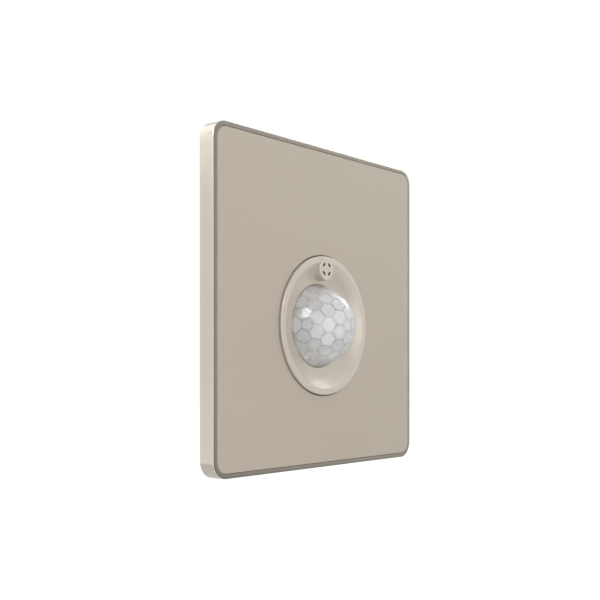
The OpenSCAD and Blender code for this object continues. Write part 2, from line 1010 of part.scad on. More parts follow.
module housing_screws() {
    color("silver")
        on_wall()
            at_corners(boss_x, boss_y)
                screw(
                    [0, 0], housing_screw_r, housing_head_r, housing_head_t,
                    housing_screw_seat, mount_t - screw_short
                );
}

trim_frame();
front_panel();
cover_backing();
mounting_frame();
sensor_bezel();
fresnel_lens();
lens_retainer();
pir_sensor();
pir_window();
pir_spacer();
light_sensor();
sensor_board();
trimmer_bases();
time_trimmer();
lux_trimmer();
header_bar();
header_pins();
board_spacers();
power_board();
board_screws();
relay();
film_capacitor();
bulk_capacitor();
varistor();
fuse();
terminal_block();
terminal_bars();
terminal_cage_live();
terminal_cage_neutral();
terminal_cage_load();
terminal_screw_live();
terminal_screw_neutral();
terminal_screw_load();
rear_housing();
housing_screws();
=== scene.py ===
"""Motion sensor light switch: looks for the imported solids, in metres, in their own frame.

The wall is the XZ plane, the face looks along -Y and up is +Z. Sizes below are in bench
millimetres: x along the wall, y up the wall, h out of the wall towards the room.
"""
import math

import bmesh
import bpy
import numpy as np
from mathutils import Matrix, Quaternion, Vector


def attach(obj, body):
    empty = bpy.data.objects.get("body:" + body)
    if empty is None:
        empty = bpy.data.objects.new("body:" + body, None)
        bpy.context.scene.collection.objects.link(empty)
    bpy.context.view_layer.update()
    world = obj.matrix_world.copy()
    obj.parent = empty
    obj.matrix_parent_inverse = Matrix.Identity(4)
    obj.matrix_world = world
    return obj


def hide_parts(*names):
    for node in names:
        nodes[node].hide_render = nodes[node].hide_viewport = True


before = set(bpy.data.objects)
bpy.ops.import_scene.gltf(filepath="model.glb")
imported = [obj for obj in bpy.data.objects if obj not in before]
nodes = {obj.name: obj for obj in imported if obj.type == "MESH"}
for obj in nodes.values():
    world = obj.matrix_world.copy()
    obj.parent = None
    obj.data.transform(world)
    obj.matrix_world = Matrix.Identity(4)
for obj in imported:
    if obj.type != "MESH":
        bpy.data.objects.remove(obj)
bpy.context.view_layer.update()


# Rear housing: the box behind the wall, injection moulded in off-white flame-retardant
# polycarbonate with a fine spark-eroded texture, closed from behind by four screws.
MM = 0.001
GRAIN, CLOUD, SPECK = 9000.0, 60.0, 2500.0
NOISE_SPAN, SPECK_SPAN = (0.3, 0.7), (0.22, 0.05)
WELD_GAP, ONE_PLANE, SHARP_EDGE, EDGE_STEPS = 1e-6, 0.5, 35.0, 3


def linear(rgb):
    """Linear colour of an sRGB triple from 0 to 255, by the standard's two-part curve."""
    c = np.asarray(rgb, float) / 255
    low = c <= 0.04045
    return tuple(np.where(low, c / 12.92, ((c + 0.055) / 1.055) ** 2.4)) + (1.0,)


def ranged(tree, value, span, onto=(0.0, 1.0)):
    """A value carried from one span onto another by a Map Range node: its output."""
    n = tree.nodes.new("ShaderNodeMapRange")
    n.inputs["From Min"].default_value, n.inputs["From Max"].default_value = span
    n.inputs["To Min"].default_value, n.inputs["To Max"].default_value = onto
    tree.links.new(value, n.inputs["Value"])
    return n.outputs["Result"]


def overlay(material, colour):
    """Lays a colour over a material's base colour: the socket that says how much of it shows."""
    t = material.node_tree
    base, mix = t.nodes["Principled BSDF"].inputs["Base Color"], t.nodes.new("ShaderNodeMix")
    mix.data_type = "RGBA"
    mix.inputs["B"].default_value = linear(colour)
    t.links.new(base.links[0].from_socket, mix.inputs["A"])
    t.links.new(mix.outputs["Result"], base)
    return mix.inputs["Factor"]


def effect_group(name, inputs, outputs):
    """A node group for a shared effect, with inputs and values for them, and its two end nodes."""
    g = bpy.data.node_groups.new(name, "ShaderNodeTree")
    for label, value in inputs.items():
        kind = "NodeSocketVector" if isinstance(value, tuple) else "NodeSocketFloat"
        g.interface.new_socket(label, in_out="INPUT", socket_type=kind).default_value = value
    for label in outputs:
        g.interface.new_socket(label, in_out="OUTPUT", socket_type="NodeSocketFloat")
    return g, g.nodes.new("NodeGroupInput"), g.nodes.new("NodeGroupOutput")


def texture_group():
    """Shared effect: a fine grain, a broad cloud and rare specks, from Object coordinates."""
    scales = {"Grain Scale": GRAIN, "Cloud Scale": CLOUD, "Speck Scale": SPECK}
    g, take, give = effect_group("moulded_texture", scales, ("Grain", "Cloud", "Specks"))
    place = g.nodes.new("ShaderNodeTexCoord")
    grain, cloud = g.nodes.new("ShaderNodeTexNoise"), g.nodes.new("ShaderNodeTexNoise")
    grain.inputs["Detail"].default_value = 2.0
    cloud.inputs["Detail"].default_value = 4.0
    cells = g.nodes.new("ShaderNodeTexVoronoi")
    for texture, scale in zip((grain, cloud, cells), scales):
        g.links.new(place.outputs["Object"], texture.inputs["Vector"])
        g.links.new(take.outputs[scale], texture.inputs["Scale"])
    g.links.new(grain.outputs["Fac"], give.inputs["Grain"])
    g.links.new(cloud.outputs["Fac"], give.inputs["Cloud"])
    g.links.new(ranged(g, cells.outputs["Distance"], SPECK_SPAN), give.inputs["Specks"])
    return g


moulded_texture = texture_group()


def surface(name, colour, shade, rough, bump=2e-6, grain=GRAIN, cloud=CLOUD, speck=SPECK,
            fleck=None, **sockets):
    """A Principled material: the colour drifts to its shade with the cloud, flecks add to it with
    the specks, roughness runs over its span with the grain, and the grain is pressed in by bump
    metres. Other sockets of the shader are set by name."""
    m = bpy.data.materials.new(name)
    m.use_nodes = True
    t = m.node_tree
    shader = t.nodes["Principled BSDF"]
    look = t.nodes.new("ShaderNodeGroup")
    look.node_tree = moulded_texture
    for label, value in (("Grain Scale", grain), ("Cloud Scale", cloud), ("Speck Scale", speck)):
        look.inputs[label].default_value = value
    drift = t.nodes.new("ShaderNodeValToRGB")
    for stop, at, rgb in zip(drift.color_ramp.elements, NOISE_SPAN, (shade, colour)):
        stop.position, stop.color = at, linear(rgb)
    t.links.new(look.outputs["Cloud"], drift.inputs["Fac"])
    t.links.new(drift.outputs["Color"], shader.inputs["Base Color"])
    if fleck:
        t.links.new(look.outputs["Specks"], overlay(m, fleck))
    t.links.new(ranged(t, look.outputs["Grain"], NOISE_SPAN, rough), shader.inputs["Roughness"])
    press = t.nodes.new("ShaderNodeBump")
    press.inputs["Strength"].default_value = 1.0
    press.inputs["Distance"].default_value = bump
    t.links.new(look.outputs["Grain"], press.inputs["Height"])
    t.links.new(press.outputs["Normal"], shader.inputs["Normal"])
    for label, value in sockets.items():
        shader.inputs[label.replace("_", " ")].default_value = value
    return m


def wear(node, material):
    """Puts a material on a carried-over solid."""
    for s in nodes[node].material_slots:
        s.material = material
    if not nodes[node].material_slots:
        nodes[node].data.materials.append(material)


def ease(node, width, clamp=True):
    """Breaks a carried-over solid's sharp edges: its loose triangles are welded, those of one plane
    are joined, and sharp edges are rounded over a width in millimetres, less where they clamp."""
    weld = nodes[node].modifiers.new("weld", "WELD")
    weld.merge_threshold = WELD_GAP
    planes = nodes[node].modifiers.new("planes", "DECIMATE")
    planes.decimate_type, planes.angle_limit = "DISSOLVE", math.radians(ONE_PLANE)
    edge = nodes[node].modifiers.new("broken_edge", "BEVEL")
    edge.width, edge.segments, edge.use_clamp_overlap = width * MM, EDGE_STEPS, clamp
    edge.limit_method, edge.angle_limit = "ANGLE", math.radians(SHARP_EDGE)


wear("rear_housing", surface(
    "housing_polycarbonate", (226, 225, 220), (219, 218, 212), (0.42, 0.56), 3e-6,
))
ease("rear_housing", 0.3, False)

# Terminal block: a black glass-filled nylon moulding with three chambers, soldered to the
# rear board by the brass bars that pass through its back wall.
wear("terminal_block", surface("terminal_nylon", (46, 47, 49), (38, 39, 41), (0.45, 0.6), 4e-6))
ease("terminal_block", 0.15)
wear("terminal_bars", surface(
    "bar_brass", (206, 176, 108), (190, 158, 92), (0.25, 0.38), 1e-6, Metallic=1.0,
))

# Clamping cages: bent nickel-plated steel straps, one in each chamber, drawn back by their
# screws so that the wire is pinched under the brass bar.
cage_nickel = surface(
    "cage_nickel", (196, 194, 188), (180, 178, 172), (0.22, 0.36), 1e-6, Metallic=1.0,
)
for pole in ("live", "neutral", "load"):
    wear("terminal_cage_" + pole, cage_nickel)

# Screws: cold-headed steel, zinc plated, with a pan head, a tapered cross recess and a rolled
# thread. Three turn in the terminals, four tap into the frame's bosses from behind the housing,
# and four hold the boards to the frame's posts.
HOUSING_SCREW = dict(r=1.1, head_r=2.0, head_t=1.5, seat=-12.0, end=0.9, pitch=0.8)
BOARD_SCREW = dict(r=1.0, head_r=1.9, head_t=1.4, seat=-7.3, end=0.9, pitch=0.7)
CLAMP_SCREW = dict(r=1.5, head_r=2.4, head_t=1.4, seat=-17.6, end=-13.6, pitch=0.5)
HEAD_ROUND, CROWN, TIP = 0.3, 0.08, 0.3
CROSS_W, CROSS_WALL, CROSS_DEEP, CROSS_REACH, CROSS_FADE = 0.5, 0.12, 0.6, 0.72, 1.25
ROOT, POINT, RIDGE, RUN_OUT = 0.8, 0.7, 0.3, 8
POLES, TERMINAL_Y = {"live": -7.62, "neutral": 0.0, "load": 7.62}, -23.5
DOUBLE_GAP, SCREW_SHARP = 2e-7, 50.0


def bench(x, y, h):
    """Bench millimetres to the frame's metres: (x, y, h) goes to (X, Z, -Y)."""
    x, y, h = np.broadcast_arrays(x, y, h)
    return np.stack([x, -h, y], -1) * MM


def full_turn(columns):
    """Angles of that many even steps once round."""
    return np.linspace(0, 2 * np.pi, columns, endpoint=False)


def grid_faces(rows, columns, close_rows=False, close_columns=True):
    """Corner numbers of the quads of a rows by columns grid, joined end to end where it closes."""
    i = np.arange(rows if close_rows else rows - 1)[:, None]
    j = np.arange(columns if close_columns else columns - 1)[None]
    row, next_row, after = i * columns, (i + 1) % rows * columns, (j + 1) % columns
    return np.stack([row + j, row + after, next_row + after, next_row + j], -1).reshape(-1, 4)


def piece(name, grids, materials, body, sharp=40.0, tone=None):
    """One object from (points, faces, slot) grids: doubles are merged, faces turned outwards, and
    edges sharper than the angle stay crisp. A tone for each point goes into an attribute."""
    points = [p.reshape(-1, 3) for p, _, _ in grids]
    starts = np.cumsum([0] + [len(p) for p in points])
    faces = np.concatenate([f + s for (_, f, _), s in zip(grids, starts)])
    slots = np.concatenate([np.broadcast_to(s, len(f)) for _, f, s in grids])
    mesh = bpy.data.meshes.new(name)
    mesh.from_pydata(np.concatenate(points).tolist(), [], faces.tolist())
    mesh.polygons.foreach_set("material_index", slots)
    if tone is not None:
        store = mesh.attributes.new("tone", "FLOAT", "POINT")
        store.data.foreach_set("value", np.asarray(tone, np.float32))
    for m in materials:
        mesh.materials.append(m)
    b = bmesh.new()
    b.from_mesh(mesh)
    bmesh.ops.remove_doubles(b, verts=b.verts, dist=DOUBLE_GAP)
    bmesh.ops.recalc_face_normals(b, faces=b.faces)
    b.to_mesh(mesh)
    b.free()
    mesh.shade_smooth()
    mesh.set_sharp_from_angle(angle=math.radians(sharp))
    o = bpy.data.objects.new(name, mesh)
    bpy.context.scene.collection.objects.link(o)
    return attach(o, body)


def screw_grid(x, y, r, head_r, head_t, seat, end, pitch, columns=60):
    """One screw along h, head first: the face z = -depth(x, y) inside a cross of two arms, a
    rounded edge, the flat underside, then a ridge that climbs one pitch a turn between root and
    full radius."""
    turn = full_turn(columns)[None]
    root, arm, half = ROOT * r, CROSS_REACH * head_r, CROSS_W / 2
    face_r = np.linspace(0, head_r - HEAD_ROUND, 34)[:, None]
    u, v = np.abs(face_r * np.cos(turn)), np.abs(face_r * np.sin(turn))
    outside = np.minimum(np.maximum(u - arm, v - half), np.maximum(v - arm, u - half))
    taper = np.clip(CROSS_FADE - face_r / arm, 0, 1)
    sunk = np.clip(-outside / CROSS_WALL, 0, 1) * head_t * CROSS_DEEP * taper
    top = seat - head_t
    swing = np.radians(np.linspace(0, 90, 6))[1:, None]
    edge_r = head_r - HEAD_ROUND * (1 - np.sin(swing))
    edge_h = top + CROWN * (1 - HEAD_ROUND / head_r) ** 2
    edge_h = edge_h + (HEAD_ROUND - CROWN) * (1 - np.cos(swing))
    length = end - seat - TIP
    way = np.linspace(0, 1, max(int(9 * length / pitch), 12))[:, None]
    climb = np.abs((way * length / pitch - turn / (2 * np.pi)) % 1 - 0.5)
    runs = np.clip(RUN_OUT * way, 0, 1) * np.clip(RUN_OUT * (1 - way), 0, 1)
    ridge = np.clip(1 - climb / RIDGE, 0, 1) * runs
    radius = np.concatenate([
        face_r + 0 * turn, edge_r + 0 * turn, np.full((1, columns), head_r),
        root + (r - root) * ridge, np.full((1, columns), root * POINT), np.zeros((1, columns)),
    ])
    height = np.concatenate([
        top + CROWN * (face_r / head_r) ** 2 + sunk, edge_h + 0 * turn,
        np.full((1, columns), seat), seat + way * length + 0 * turn, np.full((2, columns), end),
    ])
    grid = bench(x + radius * np.cos(turn), y + radius * np.sin(turn), height)
    return grid, grid_faces(*grid.shape[:2]), 0


screw_zinc = surface(
    "screw_zinc", (200, 201, 203), (182, 184, 188), (0.2, 0.34), 1e-6, Metallic=1.0,
)
for pole, x in POLES.items():
    grids = [screw_grid(x, TERMINAL_Y, **CLAMP_SCREW)]
    clamp = piece("clamp_screw_" + pole, grids, [screw_zinc], "screw_" + pole, SCREW_SHARP)
    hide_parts("terminal_screw_" + pole)
for name, node, (x, y), size in (
    ("tapping_screws", "housing_screws", (18.4, 25.9), HOUSING_SCREW),
    ("stack_screws", "board_screws", (18.0, 20.5), BOARD_SCREW),
):
    grids = [screw_grid(sx * x, sy * y, **size) for sx in (-1, 1) for sy in (-1, 1)]
    o = piece(name, grids, [screw_zinc], "switch_base", SCREW_SHARP)
    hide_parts(node)

# Circuit boards: glass-epoxy laminate with etched copper tracks under green solder mask. Both are
# cut round the housing's screw columns and held to the frame's posts by the four stack screws.
TRACK_PITCH, TRACK_WIDTH, TRACK_RUN = 1.27, 0.45, 9.0
TRACK_SETS = (("X", "Z", 0.5), ("Z", "X", 0.72))


def math_node(tree, operation, first, second=0.0):
    """A Math node whose inputs are sockets or numbers: its output."""
    n = tree.nodes.new("ShaderNodeMath")
    n.operation = operation
    for value, socket in ((first, n.inputs[0]), (second, n.inputs[1])):
        if isinstance(value, (int, float)):
            socket.default_value = value
        else:
            tree.links.new(value, socket)
    return n.outputs[0]


def track_group():
    """Shared effect: a mask of tracks, runs of a set length that are present or absent by the
    chance of their own block, one set along Z and one along X, from Object coordinates in
    millimetres."""
    sizes = {"Pitch": TRACK_PITCH, "Width": TRACK_WIDTH, "Run": TRACK_RUN}
    g, take, give = effect_group("copper_tracks", sizes, ("Tracks",))
    place, split = g.nodes.new("ShaderNodeTexCoord"), g.nodes.new("ShaderNodeSeparateXYZ")
    g.links.new(place.outputs["Object"], split.inputs[0])
    sets = []
    for across, along, absent in TRACK_SETS:
        step = math_node(g, "MULTIPLY", split.outputs[across], 1 / MM)
        step = math_node(g, "DIVIDE", step, take.outputs["Pitch"])
        run = math_node(g, "MULTIPLY", split.outputs[along], 1 / MM)
        run = math_node(g, "DIVIDE", run, take.outputs["Run"])
        block = g.nodes.new("ShaderNodeCombineXYZ")
        chance = g.nodes.new("ShaderNodeTexWhiteNoise")
        g.links.new(math_node(g, "FLOOR", step), block.inputs[0])
        g.links.new(math_node(g, "FLOOR", run), block.inputs[1])
        g.links.new(block.outputs[0], chance.inputs["Vector"])
        line = math_node(g, "LESS_THAN", math_node(g, "FRACT", step), take.outputs["Width"])
        there = math_node(g, "GREATER_THAN", chance.outputs["Value"], absent)
        sets.append(math_node(g, "MULTIPLY", line, there))
    g.links.new(math_node(g, "MAXIMUM", *sets), give.inputs["Tracks"])
    return g


board_green = surface("board_mask", (28, 92, 58), (20, 78, 48), (0.28, 0.4), 2e-6)
tracks = board_green.node_tree.nodes.new("ShaderNodeGroup")
tracks.node_tree = track_group()
board_green.node_tree.links.new(tracks.outputs["Tracks"], overlay(board_green, (62, 128, 78)))
for node in ("power_board", "sensor_board"):
    wear(node, board_green)

# Parts on the rear board: a blue relay, a yellow boxed film capacitor, an electrolytic capacitor in
# a black sleeve with a pale stripe, a dipped varistor and a ceramic fuse with nickel caps. Each
# stands on tinned leads that are soldered through the board.
TIN, LEAD_END, FAR = (198, 197, 192), 7.31, 20
SLEEVE_END, CAN_END, STRIPE_EDGE = 2.5, 13.3, 7.9
CAP_LEFT, CAP_RIGHT = -12.75, -7.75
ACROSS, INWARD, UPWARD = (1, 0, 0), (0, 1, 0), (0, 0, 1)


def zone_group():
    """Shared effect: a mask that is 1 where the Object coordinate along an axis lies between two
    levels in millimetres."""
    inputs = {"Axis": (0.0, 0.0, 0.0), "From": 0.0, "To": 0.0}
    g, take, give = effect_group("zone", inputs, ("Mask",))
    place, along = g.nodes.new("ShaderNodeTexCoord"), g.nodes.new("ShaderNodeVectorMath")
    along.operation = "DOT_PRODUCT"
    g.links.new(place.outputs["Object"], along.inputs[0])
    g.links.new(take.outputs["Axis"], along.inputs[1])
    level = math_node(g, "MULTIPLY", along.outputs["Value"], 1 / MM)
    above = math_node(g, "GREATER_THAN", level, take.outputs["From"])
    below = math_node(g, "LESS_THAN", level, take.outputs["To"])
    g.links.new(math_node(g, "MULTIPLY", above, below), give.inputs["Mask"])
    return g


zone = zone_group()


def zoned(material, axis, start, end, colour, metal=False):
    """Gives a slab of the piece, between two levels along an axis, another colour, and turns it to
    metal if asked."""
    t = material.node_tree
    slab = t.nodes.new("ShaderNodeGroup")
    slab.node_tree = zone
    slab.inputs["Axis"].default_value = axis
    slab.inputs["From"].default_value, slab.inputs["To"].default_value = start, end
    t.links.new(slab.outputs["Mask"], overlay(material, colour))
    if metal:
        metallic = t.nodes["Principled BSDF"].inputs["Metallic"]
        before = metallic.links[0].from_socket if metallic.links else 0.0
        t.links.new(math_node(t, "MAXIMUM", slab.outputs["Mask"], before), metallic)
    return material


relay_blue = surface("relay_case", (40, 66, 120), (34, 58, 108), (0.3, 0.42), 2e-6)
film_yellow = surface("film_case", (186, 150, 58), (176, 140, 50), (0.35, 0.5), 2e-6)
dipped_blue = surface("varistor_epoxy", (38, 84, 148), (32, 74, 132), (0.3, 0.45), 4e-6)
for node, material in (
    ("relay", relay_blue), ("film_capacitor", film_yellow), ("varistor", dipped_blue),
):
    wear(node, zoned(material, INWARD, 0, LEAD_END, TIN, True))
ease("relay", 0.3, False)
ease("film_capacitor", 0.3, False)
sleeve = surface("bulk_sleeve", (34, 35, 40), (28, 29, 33), (0.25, 0.36), 1e-6)
zoned(sleeve, ACROSS, 0, STRIPE_EDGE, (176, 178, 182))
zoned(sleeve, UPWARD, CAN_END, FAR, (206, 207, 208), True)
wear("bulk_capacitor", zoned(sleeve, UPWARD, 0, SLEEVE_END, TIN, True))
ceramic = surface("fuse_ceramic", (212, 210, 202), (200, 198, 190), (0.3, 0.42), 2e-6)
zoned(ceramic, ACROSS, -FAR, CAP_LEFT, TIN, True)
wear("fuse", zoned(ceramic, ACROSS, CAP_RIGHT, 0, TIN, True))

# Pin strip and spacers: a black nylon bar with four square gilt pins joins the boards electrically,
# and four white nylon tubes on the stack screws keep them apart.
wear("header_bar", surface("header_nylon", (30, 30, 32), (24, 24, 26), (0.42, 0.55), 2e-6))
wear("header_pins", surface(
    "pin_gold", (214, 184, 112), (200, 168, 96), (0.2, 0.3), 1e-6, Metallic=1.0,
))
wear("board_spacers", surface(
    "spacer_nylon", (222, 220, 210), (212, 210, 200), (0.4, 0.5), 2e-6,
))

# Trimmers: two blue moulded bases soldered to the front board, each with a white slotted rotor that
# snaps in and turns. They set the time and the light level, and are reached with the cover off.
wear("trimmer_bases", surface("trimmer_blue", (40, 84, 170), (32, 74, 156), (0.35, 0.48), 2e-6))
ease("trimmer_bases", 0.2)
rotor_white = surface("rotor_white", (232, 230, 224), (222, 220, 212), (0.35, 0.5), 2e-6)
for node in ("time_trimmer", "lux_trimmer"):
    wear(node, rotor_white)

# Mounting frame: the plate that is screwed to the wall box, injection moulded in the housing's
# off-white polycarbonate, with screw slots, trimmer wells, posts for the boards and bosses for the
# housing.
wear("mounting_frame", surface(
    "frame_polycarbonate", (228, 226, 220), (220, 218, 211), (0.42, 0.56), 3e-6,
))
ease("mounting_frame", 0.15)

# Infrared sensor: a drawn and plated steel can with a dark filter window, on a white spacer that
# lifts it to the lens's focus, its leads soldered to the front board.
wear("pir_sensor", surface(
    "sensor_can", (206, 200, 186), (192, 186, 172), (0.2, 0.32), 1e-6, Metallic=1.0,
))
wear("pir_window", surface("sensor_window", (38, 36, 42), (30, 28, 34), (0.1, 0.18), 1e-6))
wear("pir_spacer", surface("spacer_white", (224, 222, 212), (214, 212, 202), (0.4, 0.5), 2e-6))

# Lens retainer: a black nylon ring with pegs, between the front board and the lens's flange, which
# it presses against the back of the dish.
wear("lens_retainer", surface("retainer_black", (34, 34, 36), (28, 28, 30), (0.42, 0.55), 2e-6))

# Light sensor: a photocell behind the port's grille, a ceramic disc with a folded track across its
# face, held up by its two tinned leads. The Wave texture repeats every pi / (10 * Scale) metres.
CELL_BACK, CELL_LEADS, FOLD = -2.6, 10, 0.5
cell_face = surface("cell_face", (120, 84, 62), (104, 70, 52), (0.4, 0.5), 2e-6)
t = cell_face.node_tree
place, fold = t.nodes.new("ShaderNodeTexCoord"), t.nodes.new("ShaderNodeTexWave")
fold.bands_direction = "X"
fold.inputs["Scale"].default_value = math.pi / (10 * FOLD * MM)
t.links.new(place.outputs["Object"], fold.inputs["Vector"])
t.links.new(fold.outputs["Fac"], overlay(cell_face, (164, 128, 96)))
wear("light_sensor", zoned(cell_face, INWARD, CELL_BACK, CELL_LEADS, TIN, True))

# Sensor bezel: one injection moulding in champagne pearl plastic: flat rim, dished bowl, and the
# light port's boss with four slots in its face. Its rear flange is trapped under the frame.
DISH_DROP, DISH_R, RIM_W, RIM_H, FLOOR_H, SEAT_H = 4.95, 18.65, 1.7, 5.2, 2.5, 1.3
LENS_HOLE_R, BOWL_FLAT, BEZEL_T, RIM_EDGE, RIM_SOFT = 11.3, 0.6, 1.2, 0.35, 0.15
HOLE_ROUND, HOLE_DROP, REAR_R, SEAT_R, BOWL_LEAN = 0.2, 0.16, 14.3, 12.9, 30
BACK_FLANGE_W, BACK_FLANGE_T = 1.3, 1.0
PORT_RISE, PORT_R, PORT_H, PORT_BORE, PORT_EDGE, PORT_FILLET = 15.2, 3.0, 5.4, 2.3, 0.15, 0.12
GRILLE_T, GRILLE_R, SLOT_L, SLOT_W, SLOT_EDGE = 0.8, 1.6, 1.3, 0.6, 0.1
DISH_COLUMNS, PORT_COLUMNS = 288, 192


def arc(centre, radius, start, end, steps):
    """Points of a circle's arc between two angles in degrees."""
    a = np.radians(np.linspace(start, end, steps))
    return np.stack([centre[0] + radius * np.cos(a), centre[1] + radius * np.sin(a)], -1)


def from_dish(x, y, h):
    """Points given from the dish's axis, which lies below the plate's middle by the drop."""
    return bench(x, y - DISH_DROP, h)


def revolved(profile, a):
    """A half section (r, h) about the dish's axis: x = r cos a, y = r sin a - drop, h = h."""
    r, h = profile[:, :1], profile[:, 1:]
    return from_dish(r * np.cos(a), r * np.sin(a), h)


def bowl_height(r):
    """Height of the bezel's front over its radius: a circular bowl met by the flat rim with a soft
    edge."""
    run, rise = DISH_R - RIM_W - LENS_HOLE_R + BOWL_FLAT, RIM_H - FLOOR_H
    up = (run**2 + rise**2 - BOWL_FLAT**2) / (2 * rise)
    drop = np.maximum(up**2 + BOWL_FLAT**2 - (r - LENS_HOLE_R + BOWL_FLAT) ** 2, 0.01)
    bowl = FLOOR_H + up - np.sqrt(drop)
    near = np.maximum(RIM_SOFT - np.abs(bowl - RIM_H), 0)
    return np.minimum(bowl, RIM_H) - near**2 / (4 * RIM_SOFT)


hole_edge = arc((LENS_HOLE_R + HOLE_ROUND, FLOOR_H - HOLE_DROP), HOLE_ROUND, 180, 96, 7)
bowl_r = np.linspace(hole_edge[-1, 0] + 0.05, DISH_R - RIM_EDGE, 90)
front = np.stack([bowl_r, bowl_height(bowl_r)], -1)
rim_round = arc((DISH_R - RIM_EDGE, RIM_H - RIM_EDGE), RIM_EDGE, 90, 0, 10)[1:]
back_wall, flange_r = DISH_R - BEZEL_T, DISH_R + BACK_FLANGE_W
rear_r = np.linspace(back_wall, REAR_R, 24)
rear_h = bowl_height(rear_r) - BEZEL_T / math.cos(math.radians(BOWL_LEAN))
rear = np.stack([rear_r, np.minimum(rear_h, RIM_H - BEZEL_T)], -1)
section = np.concatenate([
    [[LENS_HOLE_R, SEAT_H]], hole_edge, front, rim_round,
    [[DISH_R, 0.0], [flange_r, 0.0], [flange_r, -BACK_FLANGE_T], [back_wall, -BACK_FLANGE_T]],
    rear, [[REAR_R, SEAT_H + 0.05], [SEAT_R, SEAT_H]],
])
bezel_grid = revolved(section, full_turn(DISH_COLUMNS))


# The boss: a fillet rises from the bowl, a plain wall, a rounded edge, then four quarter faces,
# each a loft from its slot's outline to the quarter's edge, and the slots' walls down to the bore.
def boss_rings():
    """Rings of the boss from the bore's foot up the outside: radius and height over the turn."""
    turn = full_turn(PORT_COLUMNS)

    def ground(r):
        """Height of the bowl under the boss's ring of that radius."""
        return bowl_height(np.hypot(r * np.cos(turn), PORT_RISE + r * np.sin(turn)))

    level = lambda value, rows=1: np.full((rows, PORT_COLUMNS), value)
    foot = ground(PORT_R)
    fillet = np.minimum(PORT_FILLET, 0.6 * (PORT_H - PORT_EDGE - foot))
    swing = np.radians(np.linspace(0, 90, 8))[:, None]
    skirt_r = PORT_R + fillet * (1 - np.sin(swing))
    blend = np.cos(swing) ** 4
    skirt_h = ground(skirt_r) * blend + foot * (1 - blend) + fillet * (1 - np.cos(swing))
    lip = np.radians(np.linspace(0, 90, 7))[:, None]
    lip_r, lip_h = PORT_R - PORT_EDGE * (1 - np.cos(lip)), PORT_H - PORT_EDGE * (1 - np.sin(lip))
    r = np.concatenate([level(PORT_BORE), level(PORT_R), skirt_r, lip_r + 0 * turn])
    h = np.concatenate([level(SEAT_H, 2), skirt_h, lip_h + 0 * turn])
    return from_dish(r * np.cos(turn), PORT_RISE + r * np.sin(turn), h)


def quarter(outer_r, height, start, steps=48):
    """A quarter of the slotted face: rings from the slot's obround outline out to the quarter's
    edge."""
    a = np.radians(np.linspace(start, start + 90, steps + 1))
    rim = np.stack([np.cos(a), np.sin(a)], -1)
    side = np.linspace(0, 1, 13)[:-1, None]
    edge = np.concatenate([side * rim[0], rim[:-1], (1 - side) * rim[-1]]) * outer_r
    middle = np.radians(start + 45)
    out = np.array([np.cos(middle), np.sin(middle)])
    along = np.array([-np.sin(middle), np.cos(middle)])
    from_slot = edge - GRILLE_R * out
    way = np.arctan2(from_slot @ out, from_slot @ along)
    u, v = np.cos(way), np.sin(way)
    half, end = (SLOT_L - SLOT_W) / 2, SLOT_W / 2
    flat = np.minimum(end / np.maximum(np.abs(v), 1e-9), 1e3)
    tip = half * np.abs(u) + np.sqrt(np.maximum(end**2 - (half * v) ** 2, 0))
    reach = np.where(np.abs(u) * flat <= half, flat, tip)
    slot = GRILLE_R * out + reach[:, None] * (u[:, None] * along + v[:, None] * out)
    share = np.array([0.0, 0.12, 0.4, 0.7, 1.0])[:, None, None]
    rings = slot + share * (edge - slot)
    return from_dish(rings[..., 0], PORT_RISE + rings[..., 1], height), slot


boss = boss_rings()
bezel_parts = [
    (bezel_grid, grid_faces(*bezel_grid.shape[:2], close_rows=True), 0),
    (boss, grid_faces(*boss.shape[:2]), 0),
]
for start in (0, 90, 180, 270):
    face, slot = quarter(PORT_R - PORT_EDGE, PORT_H, start)
    under, _ = quarter(PORT_BORE, PORT_H - GRILLE_T, start)
    depth = np.array([PORT_H, PORT_H - SLOT_EDGE, PORT_H - GRILLE_T])[:, None]
    walls = from_dish(slot[None, :, 0], PORT_RISE + slot[None, :, 1], depth)
    for g, inside in ((face, 0), (under, 1), (walls, 1)):
        bezel_parts.append((g, grid_faces(*g.shape[:2]), inside))
turn, depth = full_turn(PORT_COLUMNS), np.array([[PORT_H - GRILLE_T], [SEAT_H]])
bore = from_dish(PORT_BORE * np.cos(turn), PORT_RISE + PORT_BORE * np.sin(turn), depth)
bezel_parts.append((bore, grid_faces(*bore.shape[:2]), 1))
bezel_pearl = surface(
    "bezel_pearl", (209, 200, 188), (205, 196, 184), (0.36, 0.44), 1.2e-6, grain=7000.0,
    Metallic=0.2,
)
# The slots' walls, the grille's underside and the bore wear a dark umber: painted shade in the
# port's recesses.
port_painted_shade = surface("port_inside_painted_shade", (84, 76, 68), (76, 68, 61), (0.5, 0.6), 2e-6)
bezel = piece("dished_bezel", bezel_parts, [bezel_pearl, port_painted_shade], "switch_base")
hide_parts("sensor_bezel")

# Dome lens: thin milky polyethylene, injection moulded. Smooth outside; geodesic lens cells, flat
# with ribs between, inside. Its flange is clamped behind the dish by the retaining ring.
LENS_R, LENS_T, DRAFT, LENS_RISE, FLANGE_R, FLANGE_BACK = 11.2, 0.8, 21.0, 10.3, 12.6, 0.3
CELL_H, CELL_DEPTH, CELL_RIB, CONE_STEP = 1.3, 0.2, 0.2, 0.6
LOWEST_CELL, KNOT_STEP, CELL_STEP, CELL_HALF = np.radians([85, 43, 25, 9.5])
